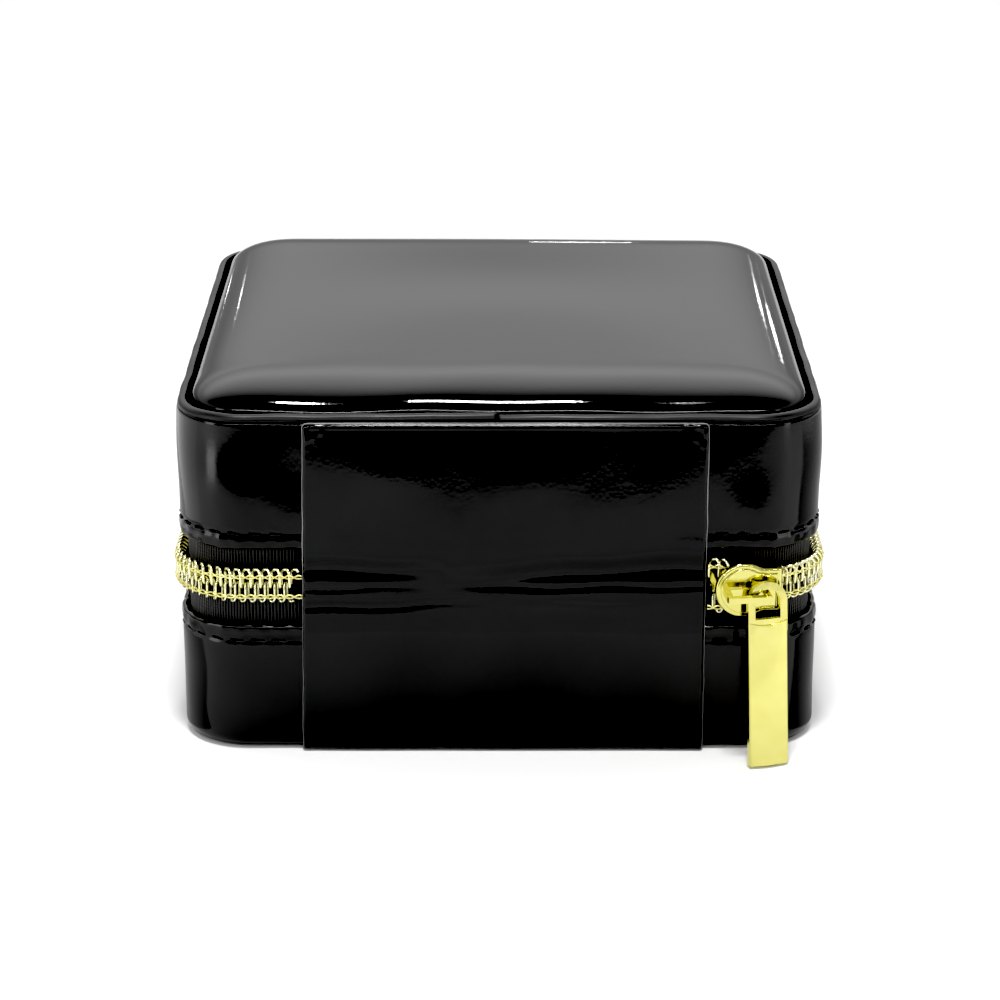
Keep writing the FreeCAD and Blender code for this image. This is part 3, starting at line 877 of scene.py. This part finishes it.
def settle_cushion(obj, edge_z):
    """Blows the skin up a little over its foam, then keeps only the broad part of the movement."""
    co = get_co(obj)
    frames, most = 16, 0.35
    pinned = obj.vertex_groups.new(name="pinned")
    low = co[:, 2] < (edge_z + 0.2) * GROW * MM
    pinned.add([int(i) for i in np.flatnonzero(low)], 1.0, "REPLACE")
    cloth = obj.modifiers.new("cloth", "CLOTH")
    cs = cloth.settings
    cs.quality = 6
    cs.mass = 0.3
    cs.use_pressure = True
    cs.uniform_pressure_force = 2.0
    cs.tension_stiffness = 20
    cs.bending_stiffness = 4.0
    cs.vertex_group_mass = "pinned"
    cs.effector_weights.gravity = 0
    scene = bpy.context.scene
    scene.frame_start, scene.frame_end = 1, frames
    for f in range(1, frames + 1):
        scene.frame_set(f)
    step = get_co(evaluated(obj)) - co
    obj.modifiers.remove(cloth)
    scene.frame_set(1)
    length = np.linalg.norm(step, axis=1)[:, None]
    cap = most * GROW * MM
    step *= np.minimum(1, cap / np.maximum(length, 1e-9))
    above = co[:, 2] > edge_z * GROW * MM
    co[:, 2] += broad_part(co / (GROW * MM * HALF), step[:, 2]) * above
    set_co(obj, co / GROW)


def broad_part(at, height):
    """The broad shape of a height over the square -1 to 1: its first few cosine waves only,
    fading to nothing at the square's edge."""
    x, y = at[:, 0], at[:, 1]
    fade = ((1 - x ** 2) * (1 - y ** 2)).clip(0) ** 0.5
    waves = np.stack([fade * np.cos(i * math.pi * (x + 1) / 2) * np.cos(j * math.pi * (y + 1) / 2)
                      for i in range(4) for j in range(4)], -1)
    return waves @ np.linalg.lstsq(waves, height, rcond=None)[0]


# ---- velvet inside ----
def velvet_walls():
    s = np.arange(0, PATH_LEN, PATH_LEN / 300)
    out, inn = box_mm("base_velvet_wall")[1][0] - HALF, -5.0
    r = (out - inn) / 2
    for part, toward, seed in (("base", 1, 51), ("lid", -1, 53)):
        lo, hi = box_mm(part + "_velvet_wall")
        root = lo[2] + 0.1 if toward > 0 else hi[2]
        bend = hi[2] - r if toward > 0 else lo[2] + r
        profile = (run([(out, root), (out, bend)], 1.5) + arc(out - r, bend, r, 0, toward * 180, 8)
                   + run([(inn, bend), (inn, root)], 1.5))
        wall = sweep(part + "_velvet", s, profile, lambda S, OFF, Z: (
            S, OFF + 0.06 * soft_noise(S * 0.15, Z * 0.2, seed), Z))
        dress(wall, VELVET, part, [part + "_velvet_wall"])


def ring_roll(number):
    """One sponge roll in velvet, its ends tucked in."""
    node = "ring_roll_%d" % number
    lo, hi = box_mm(node)
    r = (hi[1] - lo[1]) / 2
    mid_y = (lo[1] + hi[1]) / 2
    top = hi[2] - r
    side = run([(r * 0.92, lo[2]), (r, lo[2] + 1.0), (r, top)], 1.0)[:-1]
    section = side + [(r * math.cos(a), top + r * math.sin(a)) for a in np.linspace(0, math.pi, 13)]
    section = np.array(section + [(-y, z) for y, z in reversed(side)])
    length = hi[0] - lo[0]
    tuck = 3.0
    end_steps = np.array([0.0, 0.25, 0.8, 1.7, tuck])
    xs = lo[0] + np.concatenate([end_steps, spaced(4.5, length - 4.5, 1.6),
                                 length - end_steps[::-1]])
    rings = []
    for x in xs:
        end = min(x - lo[0], hi[0] - x)
        k = math.sqrt(max(0.0, 1 - (1 - min(end / tuck, 1.0)) ** 2))
        k = 0.55 + 0.45 * k
        swell = 1 + 0.012 * soft_noise(np.array(x * 0.3), np.array(number * 2.0), 60 + number)
        y = mid_y + section[:, 0] * min(1.0, k * swell) * 0.99
        z = lo[2] + (section[:, 1] - lo[2]) * k * swell
        rings.append(np.stack([np.full_like(y, x), y, z], -1))
    obj = capped("ring_roll_velvet_%d" % number, rings)
    dress(obj, ROLL_VELVET, "base", [node])


def velvet_boards():
    for node, r, bulge in (("divider_main", 0.75, 0.0), ("divider_cross", 0.75, 0.0),
                           ("base_floor_lining", 0.5, 0.25)):
        lo, hi = box_mm(node)
        obj = soft_block(node + "_velvet", lo, hi, r, 1.6, bulge, 0.05, 71)
        dress(obj, VELVET, "base", [node])


def lid_inside():
    """The lid's inner pad, its lower edge rolled in, and the pocket on it."""
    lo, hi = box_mm("lid_inner_pad")
    s = np.arange(0, PATH_LEN, PATH_LEN / 160)
    rings = [on_plan(s, -inset, z) for inset, z in (
        (5.05, hi[2]), (5.05, lo[2] + 0.7), (5.3, lo[2] + 0.2), (6.2, lo[2]),
        (12.0, lo[2]), (20.0, lo[2]), (30.0, lo[2]), (38.9, lo[2]))]
    pad = capped("lid_pad_velvet", rings)
    dress(pad, VELVET, "lid", ["lid_inner_pad"])
    pocket(lo[2])


def pocket(pad_z):
    """A gathered satin pocket with a ruched elastic hem, sewn to the lid on three sides."""
    lo, hi = box_mm("lid_pocket")
    hem_lo, hem_hi = box_mm("lid_pocket_elastic")
    pleats = 2.05  # radians of gather per millimetre, the same in the bag and its hem
    xs = spaced(lo[0], hi[0], 0.5)
    ys = spaced(hem_lo[1] + 0.2, hi[1], 1.0)
    X, Y = np.meshgrid(xs, ys, indexing="ij")
    t = (Y - ys[0]) / (ys[-1] - ys[0])
    side = np.clip(np.minimum(X - lo[0], hi[0] - X) / 4.0, 0, 1)
    sewn = np.clip((1 - t) / 0.08, 0, 1)
    jig = 0.7 * soft_noise(X * 0.3, Y * 0.02, 81)
    pleat = 0.5 + 0.5 * np.sin(X * pleats + jig + 0.3 * soft_noise(X * 0.2, Y * 0.1, 82))
    amount = (0.95 - 0.62 * t) * side * sewn
    drop = amount * pleat + 0.9 * side * sewn * np.sin(math.pi * np.clip(t * 1.1, 0, 1)) ** 0.8
    z_out = pad_z - 0.12 - drop
    z_in = np.minimum(z_out + 0.22, pad_z - 0.02)
    bag = two_sided("pocket_satin", np.stack([X, Y, z_out], -1), np.stack([X, Y, z_in], -1))
    hem_y = (hem_lo[1] + hem_hi[1]) / 2
    section = [(math.cos(a), math.sin(a)) for a in np.linspace(0, 2 * math.pi, 17)[:-1]]
    rings = []
    for x in spaced(hem_lo[0], hem_hi[0], 0.35):
        ruche = 1 + 0.16 * math.sin(x * pleats) + 0.08 * math.sin(x * 4.4 + 1)
        ry, rz = 1.45 * ruche, 0.8 * (1 + 0.3 * math.sin(x * pleats))
        rings.append([(x, hem_y + ry * c, pad_z - 0.95 + rz * q) for c, q in section])
    hem = capped("pocket_hem", rings)
    dress(hem, SATIN, "lid", ["lid_pocket_elastic"])
    dress(bag, SATIN, "lid", ["lid_pocket"])


def straps():
    """The necklace strip and its three tabs, each with a row of stitches round it."""
    lo, hi = box_mm("necklace_strip")
    strip = soft_block("necklace_strip_leather", lo, hi, 0.55, 1.5)
    dress(strip, STRAP, "lid", ["necklace_strip"])
    for number in (1, 2, 3):
        node = "necklace_tab_%d" % number
        body = "tab_%d" % number
        lo, hi = box_mm(node)
        r_end = (hi[0] - lo[0]) / 2 - 0.5
        outline = [(lo[0], lo[1]), (hi[0], lo[1])]
        for cx, a0 in ((hi[0] - r_end, 0), (lo[0] + r_end, math.pi / 2)):
            outline += [(cx + r_end * math.cos(a), hi[1] - r_end + r_end * math.sin(a))
                        for a in np.linspace(a0, a0 + math.pi / 2, 7)]
        tab = plate("necklace_tab_leather_%d" % number, outline, lo[2], hi[2], 0.3)
        dress(tab, STRAP, body, [node])
        seams = tubes("necklace_tab_stitches_%d" % number, tab_stitches(lo, hi, r_end), 0.13, 6)
        dress(outward(seams), THREAD, body)


def tab_stitches(lo, hi, r_end):
    """Stitches up both sides of a tab and round its end, on its lower face."""
    inset, pitch, z = 0.9, 1.7, lo[2] - 0.06
    lines = []
    for x in (lo[0] + inset, hi[0] - inset):
        y = lo[1] + 1.2
        while y < hi[1] - 5:
            t = np.linspace(-1, 1, 7)
            lines.append(np.stack([x + 0 * t, y + 0.62 * t, z + 0.2 * t ** 6], -1))
            y += pitch
    mid_x = (lo[0] + hi[0]) / 2
    r = r_end - inset + 0.5
    a = np.linspace(-0.1, math.pi + 0.1, 8)
    for u, v in zip(a, a[1:]):
        t = np.linspace(u + 0.06, v - 0.06, 6)
        lines.append(np.stack([mid_x + r * np.cos(t), hi[1] - r_end - 0.5 + r * np.sin(t),
                               z + 0 * t], -1))
    return lines


def plate(name, outline, z0, z1, bevel):
    """A flat strap of the given outline with rounded edges."""
    n = len(outline)
    verts = [(x, y, z) for z in (z0, z1) for x, y in outline]
    faces = [tuple(range(n)), tuple(reversed(range(n, 2 * n)))]
    faces += [(i, (i + 1) % n, n + (i + 1) % n, n + i) for i in range(n)]
    obj = outward(add_mesh(name, verts, faces, smooth=False))
    mod = obj.modifiers.new("bevel", "BEVEL")
    mod.width = bevel * MM
    mod.segments = 3
    mod.limit_method = "ANGLE"
    mod.angle_limit = math.radians(50)
    mesh = bpy.data.meshes.new_from_object(evaluated(obj))
    obj.modifiers.clear()
    obj.data = mesh
    obj.data.polygons.foreach_set("use_smooth", [True] * len(obj.data.polygons))
    return obj


# ---- stage ----
BLACK_LEVEL = 0.044
# cards on the floor: name, x from and to, y from and to in millimetres, and tone
FLOOR_CARDS = [("card_dark", -450, 450, 190, 900, 0.003),
               ("card_mid", -450, 450, 110, 190, 0.79),
               ("card_near", -450, 450, 50, 110, 0.86),
               ("card_left", 51, 125, -160, 50, 0.50),
               ("card_right", -220, -51, -160, 50, 0.42)]
CASE_MIDDLE = (0, 0, 0.03)
# lights: name, place and size in metres, radiance, and aim if it isn't the case's middle
LIGHTS = [("overhead", (0.006, 0.20, 0.80), (0.095, 0.085), 155),
          ("front_bar", (0.0, 0.60, 0.34), (0.9, 0.006), 75),
          ("back_left", (0.266, -0.944, 0.238), (0.006, 0.006), 30),
          ("back_left_low", (0.322, -0.944, 0.085), (0.007, 0.007), 25),
          ("back_right", (-0.268, -0.944, 0.227), (0.013, 0.013), 25),
          ("back_right_low", (-0.308, -0.944, 0.199), (0.018, 0.018), 25),
          ("back_low", (-0.044, -1.0, 0.185), (0.050, 0.006), 25),
          ("left_card", (0.19, 0.14, 0.05), (0.05, 0.10), 3.0, (0.05, 0.045, 0.03)),
          ("right_card", (-0.19, 0.14, 0.05), (0.03, 0.10), 2.0, (-0.05, 0.045, 0.03))]
# the photograph's view: degrees, metres and millimetres of focal length
AZIMUTH, ELEVATION, DISTANCE = 180.0, 19.2, 0.5272
CAMERA_TARGET = Vector((-0.00014, 0, 0.0240))
LENS = 111.8


def studio_world():
    """A bright low ring of white walls, under a ceiling that is bright only beyond the case."""
    world = bpy.data.worlds.new("studio")
    bpy.context.scene.world = world
    world.use_nodes = True
    tree = world.node_tree
    coords = put_node(tree, "TexCoord")
    split = put_node(tree, "SeparateXYZ", Vector=coords.outputs["Generated"])

    def ramp(axis, from_a, from_b, to_a, to_b):
        n = put_node(tree, "MapRange", Value=split.outputs[axis], From_Min=from_a, From_Max=from_b,
                     To_Min=to_a, To_Max=to_b)
        n.interpolation_type = "SMOOTHSTEP"
        return n.outputs["Result"]

    wall = ramp("Z", 0.10, 0.33, 0.45, 1.10)
    height = ramp("Z", 0.34, 0.62, 0.0, 1.0)
    ceiling = ramp("Y", -0.66, 0.05, 2.25, 0.25)
    mix = put_node(tree, "Mix")
    for socket, value in ((0, height), (2, wall), (3, ceiling)):
        tree.links.new(value, mix.inputs[socket])
    tree.links.new(mix.outputs[0], tree.nodes["Background"].inputs["Strength"])
    tree.nodes["Background"].inputs["Color"].default_value = (1, 1, 1, 1)


def floor_card(name, x0, x1, y0, y1, tone):
    """A card lying on the floor that only mirror reflections see, as patent leather needs."""
    z = 0.05
    card = add_mesh(name, [(x0, y0, z), (x1, y0, z), (x1, y1, z), (x0, y1, z)], [(0, 1, 2, 3)],
                    smooth=False)
    card.data.materials.append(plain_grey(name, 0.95, 0.0, tone * 0.97, tone * 1.03))
    for rays in ("camera", "diffuse", "shadow", "transmission"):
        setattr(card, "visible_" + rays, False)


def softbox(name, place, size, radiance, aim=CASE_MIDDLE):
    """A rectangular light of even radiance."""
    light = bpy.data.lights.new(name, "AREA")
    light.shape = "RECTANGLE"
    light.size, light.size_y = size
    light.energy = radiance * size[0] * size[1] * math.pi
    obj = bpy.data.objects.new(name, light)
    obj.location = place
    obj.rotation_euler = (Vector(aim) - Vector(place)).to_track_quat("-Z", "Y").to_euler()
    bpy.context.scene.collection.objects.link(obj)


def photo_camera():
    scene = bpy.context.scene
    camera = bpy.data.objects.new("camera", bpy.data.cameras.new("camera"))
    scene.collection.objects.link(camera)
    scene.camera = camera
    camera.data.sensor_width = 36.0
    camera.data.lens = LENS
    camera.data.clip_start = 0.01
    a, e = math.radians(AZIMUTH), math.radians(ELEVATION)
    away = Vector((math.sin(a) * math.cos(e), -math.cos(a) * math.cos(e), math.sin(e)))
    camera.location = CAMERA_TARGET + away * DISTANCE
    camera.rotation_euler = (-away).to_track_quat("-Z", "Y").to_euler()


def stage():
    bpy.ops.mesh.primitive_plane_add(size=6.0, location=(0, 0, 0))
    floor = bpy.context.object
    floor.name = "floor"
    floor.data.materials.append(plain_grey("floor_white", 0.8, 0.1, 0.94, 0.96))
    for card in FLOOR_CARDS:
        floor_card(*card)
    studio_world()
    for light in LIGHTS:
        softbox(*light)
    view = bpy.context.scene.view_settings
    view.view_transform = "Standard"
    view.use_curve_mapping = True
    view.curve_mapping.black_level = (BLACK_LEVEL,) * 3
    photo_camera()


leather_walls()
stitch_row("base_stitches", BASE_EDGE - STITCH_DROP, "base", 3)
stitch_row("lid_stitches", LID_EDGE + STITCH_DROP, "lid", 4)
hinge_panel()
zip_parts()
rim_binding()
cushion()
velvet_walls()
velvet_boards()
for roll in range(1, 6):
    ring_roll(roll)
lid_inside()
straps()
for node, material in (("slider_body", GILT), ("slider_bail", GILT), ("zip_pull", GILT),
                       ("base_bottom_cover", SOLE), ("base_board_frame", BOARD),
                       ("lid_board_frame", BOARD)):
    dress_node(node, material)
for number in (1, 2, 3):
    dress_node("snap_cap_%d" % number, SNAP)
    dress_node("snap_stud_%d" % number, SNAP)
stage()
